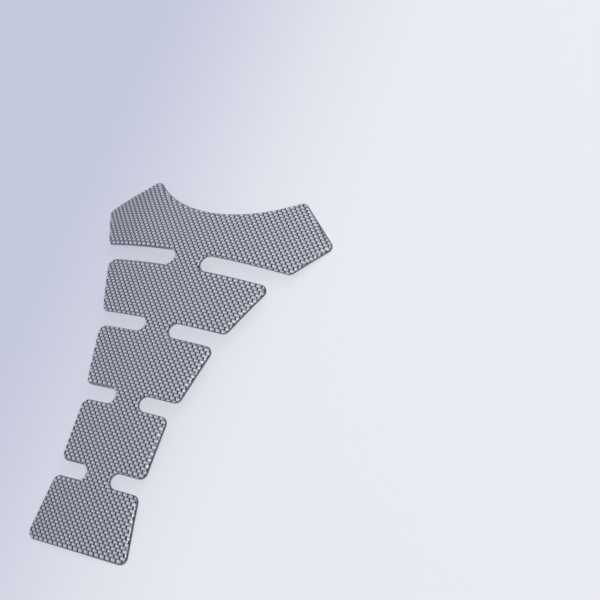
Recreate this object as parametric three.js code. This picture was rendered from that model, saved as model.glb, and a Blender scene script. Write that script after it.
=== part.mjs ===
// A tank pad: a printed film with a clear dome cast on it, bent to the crown of a fuel tank.
// Millimetres. +X runs across the pad, +Y along its spine from the tail to the wings, +Z is up.
// The pad lies crown up, on the corners of its tail and the tips of its wings.

import * as THREE from 'three';

// Layers
const FILM_THICKNESS = 0.4;
const DOME_HEIGHT = 1.8;
const SHOULDER_WIDTH = 2.6;

// Corners and relief slots
const CORNER_RADIUS = 4.3;
const NECK_WIDTH = 16.6;
const SLOT_WIDTH = 8.0;
const WING_NECK_WIDTH = 18.2;
const WING_SLOT_WIDTH = 9.4;

// Lobes from the tail up, each with its length along the spine and its width at both ends
const TAIL_LENGTH = 35.7;
const TAIL_BASE_WIDTH = 66.8;
const TAIL_TOP_WIDTH = 55.7;
const WAIST_LENGTH = 34.3;
const WAIST_BASE_WIDTH = 55.6;
const WAIST_TOP_WIDTH = 56.9;
const CHEST_LENGTH = 33.9;
const CHEST_BASE_WIDTH = 61.4;
const CHEST_TOP_WIDTH = 77.2;
const SHOULDER_LENGTH = 32.2;
const SHOULDER_BASE_WIDTH = 82.4;
const SHOULDER_TOP_WIDTH = 110.2;

// Wings: heights are from their base edge, and the notch is the round hollow between the two horns
const WING_BASE_WIDTH = 122.7;
const WING_SPAN = 153.3;
const WING_SPAN_HEIGHT = 23.3;
const HORN_SPAN = 97.8;
const HORN_HEIGHT = 46.1;
const NOTCH_CORNER_HEIGHT = 5.4;
const NOTCH_RADIUS = 71.0;

// Bend of the fitted pad, with distances along the spine
const CREST_FROM_TAIL = 100.9;
const WING_BEND_FROM_CREST = 36;
const TAIL_BEND_RADIUS = 930;
const WING_BEND_RADIUS = 345;
const CROWN_RADIUS = 275;

// Fineness of the facets
const FACET_LENGTH = 6.5;
const CORNER_STEPS = 6;
const SHOULDER_STEPS = 5;
const MERGE_DISTANCE = 1e-3;

// Straight lobes below the wings, each with the slot and neck above it
const LOBES = [
  {
    length: TAIL_LENGTH,
    base: TAIL_BASE_WIDTH,
    top: TAIL_TOP_WIDTH,
    slot: SLOT_WIDTH,
    neck: NECK_WIDTH,
  },
  {
    length: WAIST_LENGTH,
    base: WAIST_BASE_WIDTH,
    top: WAIST_TOP_WIDTH,
    slot: SLOT_WIDTH,
    neck: NECK_WIDTH,
  },
  {
    length: CHEST_LENGTH,
    base: CHEST_BASE_WIDTH,
    top: CHEST_TOP_WIDTH,
    slot: SLOT_WIDTH,
    neck: NECK_WIDTH,
  },
  {
    length: SHOULDER_LENGTH,
    base: SHOULDER_BASE_WIDTH,
    top: SHOULDER_TOP_WIDTH,
    slot: WING_SLOT_WIDTH,
    neck: WING_NECK_WIDTH,
  },
];

function corner(x, y, radius) {
  return { point: new THREE.Vector2(x, y), radius };
}

// Sharp corners of the right half of the flat outline, from the tail's edge up to the horn
function rightCorners() {
  const corners = [];
  let y = 0;
  for (const lobe of LOBES) {
    corners.push(corner(lobe.base / 2, y, CORNER_RADIUS));
    y += lobe.length;
    corners.push(corner(lobe.top / 2, y, CORNER_RADIUS));
    corners.push(corner(lobe.neck / 2, y, lobe.slot / 2));
    y += lobe.slot;
    corners.push(corner(lobe.neck / 2, y, lobe.slot / 2));
  }
  corners.push(corner(WING_BASE_WIDTH / 2, y, CORNER_RADIUS));
  corners.push(corner(WING_SPAN / 2, y + WING_SPAN_HEIGHT, CORNER_RADIUS));
  corners.push(corner(HORN_SPAN / 2, y + HORN_HEIGHT, CORNER_RADIUS));
  corners.push(corner(0, y + NOTCH_CORNER_HEIGHT, NOTCH_RADIUS));
  return corners;
}

// The whole outline, anticlockwise, with the left half mirrored from the right
function outlineCorners() {
  const right = rightCorners();
  const left = right.slice(0, -1).map(({ point, radius }) => corner(-point.x, point.y, radius));
  return [...right, ...left.reverse()];
}

// How far each corner's round reaches along its two edges, kept within the edges' length
function cornerReaches(corners) {
  const count = corners.length;
  const halfAngles = corners.map(({ point }, i) => {
    const back = corners[(i + count - 1) % count].point.clone().sub(point);
    const ahead = corners[(i + 1) % count].point.clone().sub(point);
    return back.angleTo(ahead) / 2;
  });
  const wanted = corners.map(({ radius }, i) => radius / Math.tan(halfAngles[i]));
  const shares = corners.map(({ point }, i) => {
    const next = (i + 1) % count;
    return Math.min(1, point.distanceTo(corners[next].point) / (wanted[i] + wanted[next]));
  });
  return corners.map((_, i) => {
    const reach = wanted[i] * Math.min(shares[i], shares[(i + count - 1) % count]);
    return { reach, radius: reach * Math.tan(halfAngles[i]) };
  });
}

// Points of one rounded corner, each with the outward normal of the edge there
function roundedCorner(back, point, ahead, { reach, radius }) {
  const start = back.clone().sub(point).setLength(reach).add(point);
  const end = ahead.clone().sub(point).setLength(reach).add(point);
  const chord = end.clone().sub(start);
  const turn = 2 * Math.asin(Math.min(1, chord.length() / (2 * radius)));
  const isConvex = point.clone().sub(start).cross(chord) > 0;
  const middle = start.clone().add(end).multiplyScalar(0.5);
  const centre = middle.clone().sub(point).setLength(radius * Math.cos(turn / 2)).add(middle);
  const steps = Math.max(CORNER_STEPS, Math.ceil((turn * radius) / FACET_LENGTH));
  const samples = [];
  for (let k = 0; k <= steps; k++) {
    const angle = (isConvex ? turn : -turn) * (k / steps);
    const spoke = start.clone().sub(centre).rotateAround(new THREE.Vector2(), angle);
    const normal = spoke.clone().normalize().multiplyScalar(isConvex ? 1 : -1);
    samples.push({ point: spoke.add(centre), normal });
  }
  return samples;
}

// Points along the straight edge between two samples, without its ends
function straightEdge(from, to) {
  const steps = Math.ceil(from.point.distanceTo(to.point) / FACET_LENGTH);
  const along = to.point.clone().sub(from.point).normalize();
  const normal = new THREE.Vector2(along.y, -along.x);
  const samples = [];
  for (let k = 1; k < steps; k++) {
    samples.push({ point: from.point.clone().lerp(to.point, k / steps), normal });
  }
  return samples;
}

// The rounded outline as points with outward normals
function padOutline() {
  const corners = outlineCorners();
  const reaches = cornerReaches(corners);
  const count = corners.length;
  const rounds = corners.map(({ point }, i) => {
    const back = corners[(i + count - 1) % count].point;
    const ahead = corners[(i + 1) % count].point;
    return roundedCorner(back, point, ahead, reaches[i]);
  });
  const samples = [];
  rounds.forEach((round, i) => {
    const next = rounds[(i + 1) % count];
    samples.push(...round, ...straightEdge(round[round.length - 1], next[0]));
  });
  return samples.filter(({ point }, i) => {
    const next = samples[(i + 1) % samples.length].point;
    return point.distanceTo(next) > MERGE_DISTANCE;
  });
}

// The outline moved in by a distance, point for point
function insetRing(outline, distance) {
  return outline.map(({ point, normal }) => point.clone().addScaledVector(normal, -distance));
}

function isInside(ring, point) {
  let inside = false;
  ring.forEach((a, i) => {
    const b = ring[(i + 1) % ring.length];
    const crosses = a.y > point.y !== b.y > point.y;
    if (crosses && point.x < a.x + ((b.x - a.x) * (point.y - a.y)) / (b.y - a.y)) {
      inside = !inside;
    }
  });
  return inside;
}

// A staggered grid of points inside a ring, clear of its edge
function innerPoints(ring) {
  const clearance = 0.7 * FACET_LENGTH;
  const box = new THREE.Box2().setFromPoints(ring);
  const rowHeight = FACET_LENGTH * Math.sin(Math.PI / 3);
  const halfColumns = Math.ceil(box.max.x / FACET_LENGTH);
  const points = [];
  let row = 0;
  for (let y = box.min.y + rowHeight; y < box.max.y; y += rowHeight) {
    const shift = (row % 2) * 0.5;
    for (let column = -halfColumns; column <= halfColumns; column++) {
      const point = new THREE.Vector2((column + shift) * FACET_LENGTH, y);
      const isClear = ring.every((edge) => edge.distanceTo(point) > clearance);
      if (isClear && isInside(ring, point)) points.push(point);
    }
    row += 1;
  }
  return points;
}

// The circle through three points
function circleThrough(a, b, c) {
  const ab = b.clone().sub(a);
  const ac = c.clone().sub(a);
  const scale = 1 / (2 * ab.cross(ac));
  const x = (ac.y * ab.lengthSq() - ab.y * ac.lengthSq()) * scale;
  const y = (ab.x * ac.lengthSq() - ac.x * ab.lengthSq()) * scale;
  return { centre: new THREE.Vector2(a.x + x, a.y + y), radiusSq: x * x + y * y };
}

// Delaunay triangles over flat points, which are added one at a time
function delaunay(points) {
  const far = 1e5;
  const roundingShare = 1 - 1e-10;
  const frame = [
    new THREE.Vector2(-far, -far),
    new THREE.Vector2(far, -far),
    new THREE.Vector2(0, far),
  ];
  const all = [...points, ...frame];
  const count = points.length;
  const triangle = (a, b, c) => ({ ids: [a, b, c], ...circleThrough(all[a], all[b], all[c]) });
  let triangles = [triangle(count, count + 1, count + 2)];
  points.forEach((point, id) => {
    const rim = new Map();
    triangles = triangles.filter(({ ids, centre, radiusSq }) => {
      if (centre.distanceToSquared(point) > radiusSq * roundingShare) return true;
      ids.forEach((a, k) => {
        const b = ids[(k + 1) % 3];
        if (!rim.delete(`${b},${a}`)) rim.set(`${a},${b}`, [a, b]);
      });
      return false;
    });
    for (const [a, b] of rim.values()) triangles.push(triangle(a, b, id));
  });
  return triangles.map(({ ids }) => ids).filter((ids) => Math.max(...ids) < count);
}

// Triangles that fill a ring, with the points added inside it
function fillRing(ring) {
  const added = innerPoints(ring);
  const points = [...ring, ...added];
  const faces = delaunay(points).filter((ids) => {
    const middle = new THREE.Vector2();
    ids.forEach((id) => middle.addScaledVector(points[id], 1 / 3));
    return isInside(ring, middle);
  });
  return { added, faces };
}

// A point of the spine's centre line, and the slope there
function spineAt(y) {
  const along = y - CREST_FROM_TAIL;
  const tailTurn = Math.min(along, WING_BEND_FROM_CREST) / TAIL_BEND_RADIUS;
  const wingTurn = Math.max(0, along - WING_BEND_FROM_CREST) / WING_BEND_RADIUS;
  const turn = tailTurn + wingTurn;
  const tailArc = new THREE.Vector2(Math.sin(tailTurn), Math.cos(tailTurn) - 1);
  const wingArc = new THREE.Vector2(
    Math.sin(turn) - Math.sin(tailTurn),
    Math.cos(turn) - Math.cos(tailTurn),
  );
  const point = tailArc.multiplyScalar(TAIL_BEND_RADIUS);
  return { point: point.addScaledVector(wingArc, WING_BEND_RADIUS), turn };
}

// Takes a place on the flat pad, and a height over its back, to the bent pad
function bend(x, y, height) {
  const { point, turn } = spineAt(y);
  const across = x / CROWN_RADIUS;
  const radius = CROWN_RADIUS + height;
  const rise = radius * Math.cos(across) - CROWN_RADIUS;
  return new THREE.Vector3(
    radius * Math.sin(across),
    point.x + rise * Math.sin(turn),
    point.y + rise * Math.cos(turn),
  );
}

// A closed bent layer through levels of inset and height, from its lower rim to its upper one
function bentLayer(outline, levels) {
  const rings = levels.map(({ inset }) => insetRing(outline, inset));
  const count = outline.length;
  const vertices = [];
  rings.forEach((ring, k) => {
    ring.forEach(({ x, y }) => vertices.push(bend(x, y, levels[k].height)));
  });
  const faces = [];
  for (let k = 0; k + 1 < levels.length; k++) {
    for (let i = 0; i < count; i++) {
      const a = k * count + i;
      const b = k * count + ((i + 1) % count);
      faces.push([a, b, b + count], [a, b + count, a + count]);
    }
  }
  for (const k of [0, levels.length - 1]) {
    const { added, faces: cap } = fillRing(rings[k]);
    const firstAdded = vertices.length;
    added.forEach(({ x, y }) => vertices.push(bend(x, y, levels[k].height)));
    const place = (id) => (id < count ? k * count + id : firstAdded + id - count);
    cap.forEach((ids) => faces.push(k === 0 ? ids.map(place).reverse() : ids.map(place)));
  }
  const geometry = new THREE.BufferGeometry().setFromPoints(vertices);
  geometry.setIndex(faces.flat());
  geometry.computeVertexNormals();
  return geometry;
}

function makeFilm(outline) {
  const geometry = bentLayer(outline, [
    { inset: 0, height: 0 },
    { inset: 0, height: FILM_THICKNESS },
  ]);
  const material = new THREE.MeshStandardMaterial({
    color: 0x6f7280,
    roughness: 0.4,
    metalness: 0.2,
  });
  const film = new THREE.Mesh(geometry, material);
  film.name = 'printed_film';
  return film;
}

// The dome rises from the film's edge over a quarter ellipse, no wider than its corners let it be
function makeDome(outline) {
  const widestShoulder = 0.8 * CORNER_RADIUS;
  const shoulder = Math.min(SHOULDER_WIDTH, widestShoulder);
  const levels = [];
  for (let k = 0; k <= SHOULDER_STEPS; k++) {
    const angle = (Math.PI / 2) * (k / SHOULDER_STEPS);
    levels.push({
      inset: shoulder * (1 - Math.cos(angle)),
      height: FILM_THICKNESS + DOME_HEIGHT * Math.sin(angle),
    });
  }
  const material = new THREE.MeshStandardMaterial({
    color: 0xe8ebf4,
    roughness: 0.05,
    metalness: 0,
    transparent: true,
    opacity: 0.25,
  });
  const dome = new THREE.Mesh(bentLayer(outline, levels), material);
  dome.name = 'clear_dome';
  return dome;
}

// The turn about X that brings the lowest points of the tail and of the wings to one level
function restingTurn(points) {
  const xAxis = new THREE.Vector3(1, 0, 0);
  const lower = (a, b) => (b.z < a.z ? b : a);
  const passes = 8;
  let turn = 0;
  for (let pass = 0; pass < passes; pass++) {
    const turned = points.map((point) => point.clone().applyAxisAngle(xAxis, turn));
    const tail = turned.filter(({ y }) => y < 0).reduce(lower);
    const wing = turned.filter(({ y }) => y > 0).reduce(lower);
    turn -= Math.atan2(wing.z - tail.z, wing.y - tail.y);
  }
  return turn;
}

const outline = padOutline();
const pad = new THREE.Group();
pad.add(makeFilm(outline), makeDome(outline));

// Laid down to rest, with the middle of its box over the origin
pad.rotation.x = restingTurn(outline.map(({ point }) => bend(point.x, point.y, 0)));
const restingBox = new THREE.Box3().setFromObject(pad, true);
pad.position.y = -(restingBox.min.y + restingBox.max.y) / 2;
pad.position.z = -restingBox.min.z;

export default pad;
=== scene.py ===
"""A domed tank pad on a pale floor: a woven-look print seen through a clear resin dome."""

import math

import bpy
import numpy as np
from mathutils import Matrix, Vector
from mathutils.geometry import delaunay_2d_cdt


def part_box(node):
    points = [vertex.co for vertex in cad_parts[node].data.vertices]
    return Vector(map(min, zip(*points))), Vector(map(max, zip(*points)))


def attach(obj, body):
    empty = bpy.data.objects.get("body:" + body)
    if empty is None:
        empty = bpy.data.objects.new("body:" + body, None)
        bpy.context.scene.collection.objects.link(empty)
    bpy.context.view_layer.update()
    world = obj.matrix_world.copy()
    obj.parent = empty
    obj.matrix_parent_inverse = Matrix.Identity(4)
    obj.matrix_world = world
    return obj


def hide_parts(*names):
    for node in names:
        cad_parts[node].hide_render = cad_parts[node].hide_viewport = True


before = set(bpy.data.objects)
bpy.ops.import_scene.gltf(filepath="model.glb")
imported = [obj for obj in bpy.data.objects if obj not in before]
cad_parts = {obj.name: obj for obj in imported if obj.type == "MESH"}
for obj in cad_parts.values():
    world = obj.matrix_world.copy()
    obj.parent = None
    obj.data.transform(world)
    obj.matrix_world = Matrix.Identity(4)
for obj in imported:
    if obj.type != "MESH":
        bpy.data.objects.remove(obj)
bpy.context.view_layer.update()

MM = 0.001

# The pad's sizes in millimetres, as its solids have them
FILM_THICKNESS = 0.4
DOME_HEIGHT = 1.8
SHOULDER_WIDTH = 2.6
CORNER_RADIUS = 4.3
NECK_WIDTH = 16.6
SLOT_WIDTH = 8.0
WING_NECK_WIDTH = 18.2
WING_SLOT_WIDTH = 9.4
WING_BASE_WIDTH = 122.7
WING_SPAN = 153.3
WING_SPAN_HEIGHT = 23.3
HORN_SPAN = 97.8
HORN_HEIGHT = 46.1
NOTCH_CORNER_HEIGHT = 5.4
NOTCH_RADIUS = 71.0
CREST_FROM_TAIL = 100.9
WING_BEND_FROM_CREST = 36
TAIL_BEND_RADIUS = 930
WING_BEND_RADIUS = 345
CROWN_RADIUS = 275

# Lobes from the tail up: length, width at the base and at the top, slot above, neck above
LOBES = (
    (35.7, 66.8, 55.7, SLOT_WIDTH, NECK_WIDTH),
    (34.3, 55.6, 56.9, SLOT_WIDTH, NECK_WIDTH),
    (33.9, 61.4, 77.2, SLOT_WIDTH, NECK_WIDTH),
    (32.2, 82.4, 110.2, WING_SLOT_WIDTH, WING_NECK_WIDTH),
)

# Fineness of the shown surfaces, in millimetres and steps
EDGE_STEP = 2.2
INNER_STEP = 4.0
CORNER_STEPS = 14
SHOULDER_STEPS = 14
LEVELLING_ROUNDS = 8

# Closest that an inner point comes to the edge, as a share of INNER_STEP, and the distances in
# millimetres below which outline points and the triangles' corners count as one
INNER_CLEARANCE = 0.6
MERGE_DISTANCE = 1e-3
WELD_DISTANCE = 1e-6

# The triangulation's option that keeps only what lies inside the ring
INSIDE_ONLY = 1

# How far the dome dips into the film, and how far both stay inside the solids' edge, in millimetres
OVERLAP = 0.15
EDGE_CLEARANCE = 0.06

# How far in from the cut edge the unprinted margin reaches, and then a dark border of painted
# shade for the dark line of the dome's steep rim, wider at the right-hand edges, in millimetres
MARGIN_WIDTH = 0.35
RIM_SHADE_REACH = 0.86
RIM_SHADE_SHIFT = 0.4

# The print's plain weave lies a little askew: its pitch, its turn in degrees, the place on the
# flat pad, from the crest, where one light crossing falls, and how far its strands lean over
STRAND_PITCH = 1.7
WEAVE_TURN = 0.444
WEAVE_ORIGIN = (2.06, 1.15)
WEAVE_LEAN = 0.27

# A crossing's light and dark patches, in strands: half their reach along the rows, half their
# height, and the range over which their rims blur
LIGHT_PATCH = (0.93, 0.31, (0.2, 2.2))
DARK_PATCH = (0.27, 0.56, (0.3, 2.0))
PATCH_SQUARENESS = 4.0

# Along a light strand its tone fades, and across a dark one a sheen falls off, in strands
LIGHT_FADE = (-0.5, 0.7)
SHEEN_HALF_WIDTH = 0.45
SHEEN_SHARE = 0.6

# Fibres: streaks per strand along and across them, and how strongly they vary each strand's tone
FIBRE_ALONG = 0.9
FIBRE_ACROSS = 11.0
LIGHT_FIBRES = 0.5
DARK_FIBRES = 0.8

# Noise textures give values about this middle, and nearly all of them lie in this range
NOISE_MIDDLE = 0.5
NOISE_RANGE = (0.3, 0.7)

# The print's colours, as linear values
LIGHT_STRAND = (0.735, 0.75, 0.815, 1)
FADED_STRAND = (0.425, 0.437, 0.505, 1)
STRAND_EDGE = (0.265, 0.275, 0.335, 1)
DARK_STRAND = (0.018, 0.020, 0.027, 1)
DARK_SHEEN = (0.050, 0.053, 0.068, 1)
# Painted shade: the dark rim border's colours, which are not part of the print
RIM_SHADE_COLOURS = (0.047, 0.049, 0.059, 1), (0.094, 0.098, 0.117, 1)

# The cut edge, and its knife marks per metre along X, Y and Z
EDGE_COLOURS = (0.56, 0.57, 0.62, 1), (0.78, 0.79, 0.83, 1)
KNIFE_MARKS = (900.0, 900.0, 4000.0)

# The adhesive back, with its grain's depth in metres
BACK_COLOURS = (0.42, 0.42, 0.41, 1), (0.52, 0.52, 0.50, 1)
BACK_ROUGHNESS = (0.3, 0.45)
BACK_GRAIN = 0.00004

# The resin, and the share of the lamps' light that it lets through to the print
RESIN_COLOUR = (0.985, 0.99, 1.0, 1)
RESIN_ROUGHNESS = (0.11, 0.14)
RESIN_LETS_THROUGH = (0.97, 0.975, 0.985, 1)

# The floor, in metres. Its colour grows lighter along X, from one side of the pad to the other,
# with a little unevenness, and it glows where it is seen, so that it stays pale in low light
FLOOR_HALF_SIZE = 4.0
FLOOR_DROP = 0.0002
# Painted light: the floor's colour is darker at the left and lighter at the right
FLOOR_LEFT = (0.58, 0.60, 0.74, 1)
FLOOR_RIGHT = (0.84, 0.85, 0.90, 1)
FLOOR_FADE = (-0.13, 0.09)
FLOOR_UNEVENNESS = 0.1
FLOOR_GLOW = 0.8

# Lights: (name, place in metres, sides of the panel in metres, watts)
LIGHTS = (
    ("softbox", (1.29, 0.03, 2.71), (0.36, 1.4), 15.0),
    ("side panel", (0.55, 0.56, 0.78), (0.6, 0.6), 4.5),
)

# The world's colour, its strength as a light from the left and from the right, and as it is seen
WORLD_COLOUR = (0.86, 0.88, 0.95, 1)
WORLD_LEFT, WORLD_RIGHT = 0.44, 0.655
WORLD_SEEN = 0.95

# The camera, where the photograph's perspective puts it: metres, degrees and millimetres
CAMERA_PLACE = (0.5233, -0.2214, 0.6673)
CAMERA_TURN = (30.576, 24.714, 23.701)
CAMERA_LENS = 99.0
CAMERA_SENSOR = 36.0


def half_outline():
    """Sharp corners of the flat outline's right half, from the tail up, as (x, y, radius)."""
    corners = []
    y = 0.0
    for length, base, top, slot, neck in LOBES:
        corners.append((base / 2, y, CORNER_RADIUS))
        y += length
        corners.append((top / 2, y, CORNER_RADIUS))
        corners.append((neck / 2, y, slot / 2))
        y += slot
        corners.append((neck / 2, y, slot / 2))
    corners.append((WING_BASE_WIDTH / 2, y, CORNER_RADIUS))
    corners.append((WING_SPAN / 2, y + WING_SPAN_HEIGHT, CORNER_RADIUS))
    corners.append((HORN_SPAN / 2, y + HORN_HEIGHT, CORNER_RADIUS))
    corners.append((0.0, y + NOTCH_CORNER_HEIGHT, NOTCH_RADIUS))
    return corners


def rounded_corner(back, point, ahead, reach):
    """Points round one corner, with the outward normals of the edge there."""
    start = point + (back - point).normalized() * reach
    end = point + (ahead - point).normalized() * reach
    half_angle = (back - point).angle(ahead - point) / 2
    radius = reach * math.tan(half_angle)
    inward = ((start + end) / 2 - point).normalized()
    centre = point + inward * radius / math.sin(half_angle)
    spoke = start - centre
    side = (start - point).cross(end - point)
    turn = math.copysign(math.pi - 2 * half_angle, -side)
    steps = max(CORNER_STEPS, math.ceil(abs(turn) * radius / EDGE_STEP))
    samples = []
    for k in range(steps + 1):
        angle = turn * k / steps
        c, s = math.cos(angle), math.sin(angle)
        arm = Vector((c * spoke.x - s * spoke.y, s * spoke.x + c * spoke.y))
        samples.append((centre + arm, arm.normalized() * math.copysign(1, turn)))
    return samples


def pad_outline():
    """The rounded outline, anticlockwise, as arrays of points and outward normals."""
    right = half_outline()
    corners = right + [(-x, y, r) for x, y, r in reversed(right[:-1])]
    points = [Vector((x, y)) for x, y, _ in corners]
    count = len(corners)
    wanted = []
    for i, (_, _, radius) in enumerate(corners):
        opening = (points[i - 1] - points[i]).angle(points[(i + 1) % count] - points[i])
        wanted.append(radius / math.tan(opening / 2))
    shares = []
    for i in range(count):
        after = (i + 1) % count
        length = (points[after] - points[i]).length
        shares.append(min(1, length / (wanted[i] + wanted[after])))
    rounds = []
    for i in range(count):
        reach = wanted[i] * min(shares[i], shares[i - 1])
        rounds.append(rounded_corner(points[i - 1], points[i], points[(i + 1) % count], reach))
    samples = []
    for i in range(count):
        samples += rounds[i]
        start, end = rounds[i][-1][0], rounds[(i + 1) % count][0][0]
        edge = end - start
        normal = Vector((edge.y, -edge.x)).normalized()
        steps = math.ceil(edge.length / EDGE_STEP)
        samples += [(start + edge * k / steps, normal) for k in range(1, steps)]
    kept = []
    for i, sample in enumerate(samples):
        if (samples[(i + 1) % len(samples)][0] - sample[0]).length > MERGE_DISTANCE:
            kept.append(sample)
    return np.array([p[:] for p, _ in kept]), np.array([n[:] for _, n in kept])


def bend(flat, height):
    """Takes places on the flat pad, and a height over its back, to the bent pad."""
    along = flat[:, 1] - CREST_FROM_TAIL
    tail_turn = np.minimum(along, WING_BEND_FROM_CREST) / TAIL_BEND_RADIUS
    turn = tail_turn + np.maximum(0, along - WING_BEND_FROM_CREST) / WING_BEND_RADIUS
    spine_y = TAIL_BEND_RADIUS * np.sin(tail_turn)
    spine_y += WING_BEND_RADIUS * (np.sin(turn) - np.sin(tail_turn))
    spine_z = TAIL_BEND_RADIUS * (np.cos(tail_turn) - 1)
    spine_z += WING_BEND_RADIUS * (np.cos(turn) - np.cos(tail_turn))
    across = flat[:, 0] / CROWN_RADIUS
    rise = (CROWN_RADIUS + height) * np.cos(across) - CROWN_RADIUS
    x = (CROWN_RADIUS + height) * np.sin(across)
    return np.stack([x, spine_y + rise * np.sin(turn), spine_z + rise * np.cos(turn)], axis=1)


def turned(points, angle):
    """Points turned about X."""
    c, s = math.cos(angle), math.sin(angle)
    y = c * points[:, 1] - s * points[:, 2]
    z = s * points[:, 1] + c * points[:, 2]
    return np.stack([points[:, 0], y, z], axis=1)


def resting_turn(points):
    """The turn about X that brings the lowest points of the tail and the wings to one level."""
    angle = 0.0
    for _ in range(LEVELLING_ROUNDS):
        now = turned(points, angle)
        tail, wing = now[now[:, 1] < 0], now[now[:, 1] > 0]
        tail = tail[tail[:, 2].argmin()]
        wing = wing[wing[:, 2].argmin()]
        angle -= math.atan2(wing[2] - tail[2], wing[1] - tail[1])
    return angle


class Placing:
    """Takes flat places to the frame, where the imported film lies."""

    def __init__(self, outline):
        rim = bend(outline, 0.0)
        self.angle = resting_turn(rim)
        rim = turned(rim, self.angle)
        low, high = (np.array(corner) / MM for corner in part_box("printed_film"))
        self.shift = np.array([0.0, (low[1] + high[1]) / 2, low[2]])
        self.shift[1] -= (rim[:, 1].min() + rim[:, 1].max()) / 2
        self.shift[2] -= rim[:, 2].min()

    def __call__(self, flat, height):
        return (turned(bend(flat, height), self.angle) + self.shift) * MM


def inner_points(ring, step):
    """A staggered grid inside a ring, clear of its edge."""
    low, high = ring.min(axis=0), ring.max(axis=0)
    rows = np.arange(low[1] + step, high[1], step * math.sin(math.pi / 3))
    columns = np.arange(-math.ceil(high[0] / step), math.ceil(high[0] / step) + 1)
    grid = [((c + 0.5 * (k % 2)) * step, y) for k, y in enumerate(rows) for c in columns]
    grid = np.array(grid)
    gaps = np.linalg.norm(grid[:, None] - ring[None], axis=2).min(axis=1)
    a, b = ring, np.roll(ring, -1, axis=0)
    x, y = grid[:, 0, None], grid[:, 1, None]
    straddles = (a[:, 1] > y) != (b[:, 1] > y)
    rise = np.where(a[:, 1] == b[:, 1], 1.0, b[:, 1] - a[:, 1])
    crossings = straddles & (x < a[:, 0] + (b[:, 0] - a[:, 0]) * (y - a[:, 1]) / rise)
    return grid[(crossings.sum(axis=1) % 2 == 1) & (gaps > INNER_CLEARANCE * step)]


def fill_ring(ring, step):
    """Points added inside a ring, and the triangles that fill it, by index."""
    added = inner_points(ring, step)
    points = [Vector(p) for p in np.concatenate([ring, added])]
    border = list(range(len(ring)))
    result = delaunay_2d_cdt(points, [], [border], INSIDE_ONLY, WELD_DISTANCE)
    source = [ids[0] for ids in result[3]]
    return added, [[source[i] for i in face] for face in result[2]]


def layer_mesh(name, place, points, normals, levels):
    """A closed bent layer through levels of (inset, height, kind), from its lower cap to its upper.

    An inset is one number, or one for each point. Each level names the kind of the faces that
    come after it, and the last one the kind of the upper cap's."""
    count = len(points)
    flat, heights, faces, kinds = [], [], [], []
    for inset, height, _ in levels:
        flat.append(points - normals * inset)
        heights.append(np.full(count, height))
    for k in range(len(levels) - 1):
        for i in range(count):
            a, b = k * count + i, k * count + (i + 1) % count
            faces.append((a, b, b + count, a + count))
            kinds.append(levels[k][2])
    for k, kind in ((0, "back"), (len(levels) - 1, levels[-1][2])):
        first = sum(len(f) for f in flat)
        added, cap = fill_ring(flat[k], INNER_STEP)
        flat.append(added)
        heights.append(np.full(len(added), levels[k][1]))
        for ids in cap:
            ids = [k * count + i if i < count else first + i - count for i in ids]
            faces.append(ids[::-1] if k == 0 else ids)
            kinds.append(kind)
    flat, heights = np.concatenate(flat), np.concatenate(heights)
    mesh = bpy.data.meshes.new(name)
    mesh.from_pydata([tuple(p) for p in place(flat, heights)], [], faces)
    mesh.polygons.foreach_set("use_smooth", np.ones(len(faces), dtype=bool))
    add_weave_places(mesh, flat)
    mesh.validate()
    return mesh, kinds


def add_weave_places(mesh, flat):
    """Gives each corner of a mesh its place in the print's weave, counted in strands."""
    c, s = math.cos(math.radians(WEAVE_TURN)), math.sin(math.radians(WEAVE_TURN))
    away = flat - (WEAVE_ORIGIN[0], CREST_FROM_TAIL + WEAVE_ORIGIN[1])
    strands = away @ np.array([[c, -s], [s, c]]) / STRAND_PITCH
    corners = np.zeros(len(mesh.loops), dtype=np.int32)
    mesh.loops.foreach_get("vertex_index", corners)
    weave = mesh.uv_layers.new(name="Weave")
    weave.uv.foreach_set("vector", strands[corners].astype(np.float32).ravel())


class Nodes:
    """Short calls that build the node tree of a material or a world."""

    def __init__(self, owner):
        self.owner = owner
        owner.use_nodes = True
        self.tree = owner.node_tree
        self.tree.nodes.clear()

    def add(self, kind, inputs=None, **settings):
        node = self.tree.nodes.new("ShaderNode" + kind)
        for key, value in settings.items():
            setattr(node, key, value)
        for key, value in (inputs or {}).items():
            self.set(node.inputs[key], value)
        return node

    def set(self, socket, value):
        if isinstance(value, bpy.types.NodeSocket):
            self.tree.links.new(value, socket)
        else:
            socket.default_value = value

    def math(self, operation, *values):
        node = self.add("Math", operation=operation)
        for socket, value in zip(node.inputs, values):
            self.set(socket, value)
        return node.outputs[0]

    def ramp(self, value, low, high, start=0.0, end=1.0):
        """A smooth step of value from low to high, running from start to end."""
        inputs = {"Value": value, "From Min": low, "From Max": high, "To Min": start, "To Max": end}
        return self.add("MapRange", inputs, interpolation_type="SMOOTHSTEP").outputs[0]

    def mix(self, factor, first, second):
        """A mix of two colours, whose sockets come after the Mix node's numbers and vectors."""
        node = self.add("Mix", {0: factor, 6: first, 7: second}, data_type="RGBA")
        return node.outputs[2]

    def noise(self, scale, detail, place=None):
        """A noise texture, over the mesh's box unless a place is given."""
        inputs = {"Scale": scale, "Detail": detail}
        if place is not None:
            inputs["Vector"] = place
        return self.add("TexNoise", inputs).outputs["Fac"]

    def uneven(self, noise, share):
        """Noise about zero, scaled to a share."""
        return self.math("MULTIPLY", self.math("SUBTRACT", noise, NOISE_MIDDLE), share)

    def surface(self, colour, roughness, **inputs):
        """A principled shader. An input's name is written with _ for each space."""
        named = {name.replace("_", " "): value for name, value in inputs.items()}
        named = {"Base Color": colour, "Roughness": roughness, **named}
        return self.add("BsdfPrincipled", named).outputs[0]

    def mix_shader(self, factor, first, second):
        return self.add("MixShader", {0: factor, 1: first, 2: second}).outputs[0]

    def finish(self, shader, output="OutputMaterial"):
        self.tree.links.new(shader, self.add(output).inputs["Surface"])
        return self.owner


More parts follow.
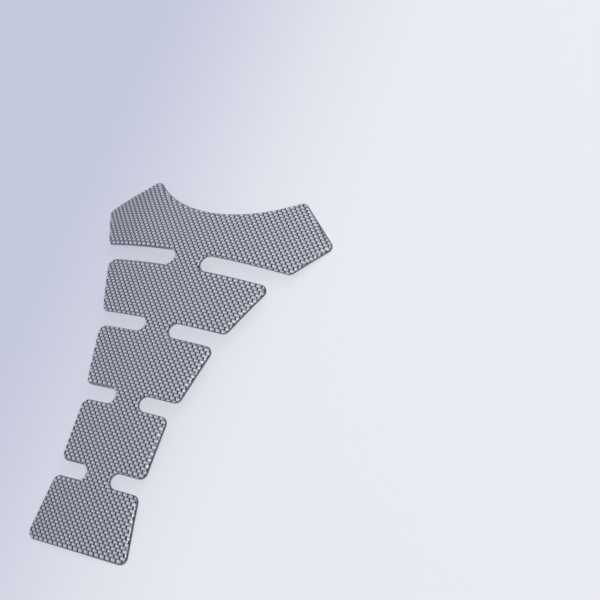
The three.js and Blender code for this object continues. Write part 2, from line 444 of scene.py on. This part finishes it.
def print_material():
    """A printed plain weave: light strands run across, and dark ones show between them."""
    n = Nodes(bpy.data.materials.new("carbon_print"))
    place = n.add("SeparateXYZ", {"Vector": n.add("UVMap", uv_map="Weave").outputs[0]}).outputs
    row = n.math("ROUND", place[1])
    height = n.math("SUBTRACT", place[1], row)
    leaned = n.math("MULTIPLY_ADD", height, WEAVE_LEAN, place[0])
    shifted = n.math("ADD", n.math("ADD", leaned, row), 1.0)
    across = n.math("SUBTRACT", n.math("FLOORED_MODULO", shifted, 2.0), 1.0)
    from_light = n.math("ABSOLUTE", across)
    from_dark = n.math("SUBTRACT", 1.0, from_light)
    from_row = n.math("ABSOLUTE", height)

    def patch(from_middle, half_reach, half_height, blur):
        """One inside a rounded box about a crossing's middle, and zero outside."""
        reach = n.math("POWER", n.math("DIVIDE", from_middle, half_reach), PATCH_SQUARENESS)
        rise = n.math("POWER", n.math("DIVIDE", from_row, half_height), PATCH_SQUARENESS)
        return n.ramp(n.math("ADD", reach, rise), *blur, 1.0, 0.0)

    def fibres(per_strand_x, per_strand_y, share):
        """Fine streaks about zero, drawn out along one of the strands' two ways."""
        x = n.math("MULTIPLY", place[0], per_strand_x)
        y = n.math("MULTIPLY", place[1], per_strand_y)
        stretched = n.add("CombineXYZ", {"X": x, "Y": y}).outputs[0]
        return n.uneven(n.noise(scale=1.0, detail=2.0, place=stretched), share)

    fade = n.ramp(across, *LIGHT_FADE)
    fade = n.math("ADD", fade, fibres(FIBRE_ALONG, FIBRE_ACROSS, LIGHT_FIBRES))
    sheen = n.ramp(from_row, SHEEN_HALF_WIDTH, 0.0, 0.0, SHEEN_SHARE)
    sheen = n.math("ADD", sheen, fibres(FIBRE_ACROSS, FIBRE_ALONG, DARK_FIBRES))
    light = n.mix(fade, LIGHT_STRAND, FADED_STRAND)
    dark = n.mix(sheen, DARK_STRAND, DARK_SHEEN)
    colour = n.mix(patch(from_light, *LIGHT_PATCH), STRAND_EDGE, light)
    colour = n.mix(patch(from_dark, *DARK_PATCH), colour, dark)
    return n.finish(n.surface(colour, roughness=0.5, Specular_IOR_Level=0.0))


def rim_shade_material():
    """Painted shade: a plain dark border for the dark line of the dome's steep rim."""
    n = Nodes(bpy.data.materials.new("painted_rim_shade"))
    colour = n.mix(n.noise(scale=900.0, detail=3.0), *RIM_SHADE_COLOURS)
    return n.finish(n.surface(colour, roughness=0.6, Specular_IOR_Level=0.2))


def edge_material():
    """The film's unprinted margin and its cut edge: pale vinyl with the knife's fine marks."""
    n = Nodes(bpy.data.materials.new("film_edge"))
    place = n.add("TexCoord").outputs["Object"]
    stretched = n.add("Mapping", {"Vector": place, "Scale": KNIFE_MARKS}).outputs[0]
    colour = n.mix(n.noise(scale=1.0, detail=2.0, place=stretched), *EDGE_COLOURS)
    return n.finish(n.surface(colour, roughness=0.55, Specular_IOR_Level=0.3))


def adhesive_material():
    """The film's back: tacky adhesive, a little uneven in tone and gloss."""
    n = Nodes(bpy.data.materials.new("adhesive_back"))
    patches = n.noise(scale=60.0, detail=4.0)
    colour = n.mix(patches, *BACK_COLOURS)
    roughness = n.ramp(patches, *NOISE_RANGE, *BACK_ROUGHNESS)
    grain = n.noise(scale=1400.0, detail=2.0)
    bump = n.add("Bump", {"Strength": 0.25, "Distance": BACK_GRAIN, "Height": grain}).outputs[0]
    return n.finish(n.surface(colour, roughness, Normal=bump))


def resin_material():
    """Clear cast resin that lets lamps through to the print."""
    n = Nodes(bpy.data.materials.new("clear_resin"))
    roughness = n.ramp(n.noise(scale=45.0, detail=3.0), *NOISE_RANGE, *RESIN_ROUGHNESS)
    resin = n.surface(RESIN_COLOUR, roughness, IOR=1.5, Transmission_Weight=1.0)
    clear = n.add("BsdfTransparent", {"Color": RESIN_LETS_THROUGH}).outputs[0]
    shadow = n.add("LightPath").outputs["Is Shadow Ray"]
    return n.finish(n.mix_shader(shadow, resin, clear))


def floor_material():
    """A pale floor that keeps a light shadow of the pad."""
    n = Nodes(bpy.data.materials.new("pale_floor"))
    place = n.add("TexCoord").outputs["Object"]
    across = n.add("SeparateXYZ", {"Vector": place}).outputs[0]
    uneven = n.uneven(n.noise(scale=3.0, detail=2.0), FLOOR_UNEVENNESS)
    # Painted light: the floor's colour grows lighter along X
    share = n.math("ADD", n.ramp(across, *FLOOR_FADE), uneven)
    colour = n.mix(share, FLOOR_LEFT, FLOOR_RIGHT)
    lit = n.surface(colour, roughness=0.85, Specular_IOR_Level=0.1)
    glow = n.add("Emission", {"Color": colour, "Strength": 1.0}).outputs[0]
    path = n.add("LightPath").outputs
    seen = n.math("MAXIMUM", path["Is Camera Ray"], path["Is Glossy Ray"])
    seen = n.math("MAXIMUM", seen, path["Is Transmission Ray"])
    return n.finish(n.mix_shader(n.math("MULTIPLY", seen, FLOOR_GLOW), lit, glow))


def add_piece(name, mesh, node):
    piece = bpy.data.objects.new(name, mesh)
    bpy.context.scene.collection.objects.link(piece)
    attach(piece, "root")
    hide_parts(node)
    return piece


def make_film(place, points, normals):
    """The printed film: its print on top, its cut edge, and its adhesive back."""
    # The border is painted shade for the dome's dark rim, and reaches further in at right-hand
    # edges
    rim_shade_reach = RIM_SHADE_REACH + RIM_SHADE_SHIFT * normals[:, :1]
    levels = [
        (0.0, 0.0, "side"),
        (0.0, FILM_THICKNESS, "margin"),
        (MARGIN_WIDTH, FILM_THICKNESS, "border"),
        (rim_shade_reach, FILM_THICKNESS, "print"),
    ]
    mesh, kinds = layer_mesh("carbon_film", place, points, normals, levels)
    for material in (print_material(), rim_shade_material(), edge_material(), adhesive_material()):
        mesh.materials.append(material)
    order = {"print": 0, "border": 1, "margin": 2, "side": 2, "back": 3}
    mesh.polygons.foreach_set("material_index", [order[kind] for kind in kinds])
    mesh.attributes.new("sharp_edge", "BOOLEAN", "EDGE")
    corner_kinds = ({"side", "margin"}, {"side", "back"})
    sharp = [{kinds[p] for p in users} in corner_kinds for users in edge_users(mesh)]
    mesh.attributes["sharp_edge"].data.foreach_set("value", sharp)
    return add_piece("carbon_film", mesh, "printed_film")


def edge_users(mesh):
    """The faces that meet at each edge."""
    users = [[] for _ in mesh.edges]
    for face in mesh.polygons:
        for loop in face.loop_indices:
            users[mesh.loops[loop].edge_index].append(face.index)
    return users


def make_dome(place, points, normals):
    """The clear dome. It dips a little into the film, so that no air shows between them."""
    levels = [(OVERLAP, FILM_THICKNESS - OVERLAP, "dome"), (0.0, FILM_THICKNESS, "dome")]
    for k in range(1, SHOULDER_STEPS + 1):
        angle = math.pi / 2 * k / SHOULDER_STEPS
        inset = SHOULDER_WIDTH * (1 - math.cos(angle))
        levels.append((inset, FILM_THICKNESS + DOME_HEIGHT * math.sin(angle), "dome"))
    mesh, _ = layer_mesh("clear_dome_resin", place, points, normals, levels)
    mesh.materials.append(resin_material())
    return add_piece("clear_dome_resin", mesh, "clear_dome")


def make_floor():
    size = FLOOR_HALF_SIZE
    mesh = bpy.data.meshes.new("floor")
    corners = [(-size, -size, 0), (size, -size, 0), (size, size, 0), (-size, size, 0)]
    mesh.from_pydata(corners, [], [(0, 1, 2, 3)])
    mesh.materials.append(floor_material())
    floor = bpy.data.objects.new("floor", mesh)
    floor.location.z = -FLOOR_DROP
    bpy.context.scene.collection.objects.link(floor)


def make_world():
    """A plain sky that lights the pad a little more from the right."""
    n = Nodes(bpy.data.worlds.new("studio"))
    direction = n.add("TexCoord").outputs["Generated"]
    across = n.add("SeparateXYZ", {"Vector": direction}).outputs[0]
    span = {"From Min": -1.0, "From Max": 1.0, "To Min": WORLD_LEFT, "To Max": WORLD_RIGHT}
    strength = n.add("MapRange", {"Value": across, **span}).outputs[0]
    lit = n.add("Background", {"Color": WORLD_COLOUR, "Strength": strength}).outputs[0]
    seen = n.add("Background", {"Color": WORLD_COLOUR, "Strength": WORLD_SEEN}).outputs[0]
    camera_ray = n.add("LightPath").outputs["Is Camera Ray"]
    shader = n.mix_shader(camera_ray, lit, seen)
    bpy.context.scene.world = n.finish(shader, "OutputWorld")


def make_lights():
    """Panels that face the pad, which its clear dome reflects but doesn't show through itself."""
    for name, place, sides, watts in LIGHTS:
        lamp = bpy.data.lights.new(name, "AREA")
        lamp.shape = "RECTANGLE"
        lamp.size, lamp.size_y = sides
        lamp.energy = watts
        panel = bpy.data.objects.new(name, lamp)
        panel.location = place
        panel.visible_transmission = False
        panel.rotation_euler = (-Vector(place)).to_track_quat("-Z", "Y").to_euler()
        bpy.context.scene.collection.objects.link(panel)


def make_camera():
    data = bpy.data.cameras.new("camera")
    data.lens = CAMERA_LENS
    data.sensor_width = CAMERA_SENSOR
    camera = bpy.data.objects.new("camera", data)
    camera.location = CAMERA_PLACE
    camera.rotation_euler = [math.radians(angle) for angle in CAMERA_TURN]
    bpy.context.scene.collection.objects.link(camera)
    bpy.context.scene.camera = camera


bpy.context.scene.view_settings.view_transform = "Standard"
make_camera()
make_floor()
make_world()
make_lights()
points, normals = pad_outline()
place = Placing(points)
points -= normals * EDGE_CLEARANCE
make_film(place, points, normals)
make_dome(place, points, normals)
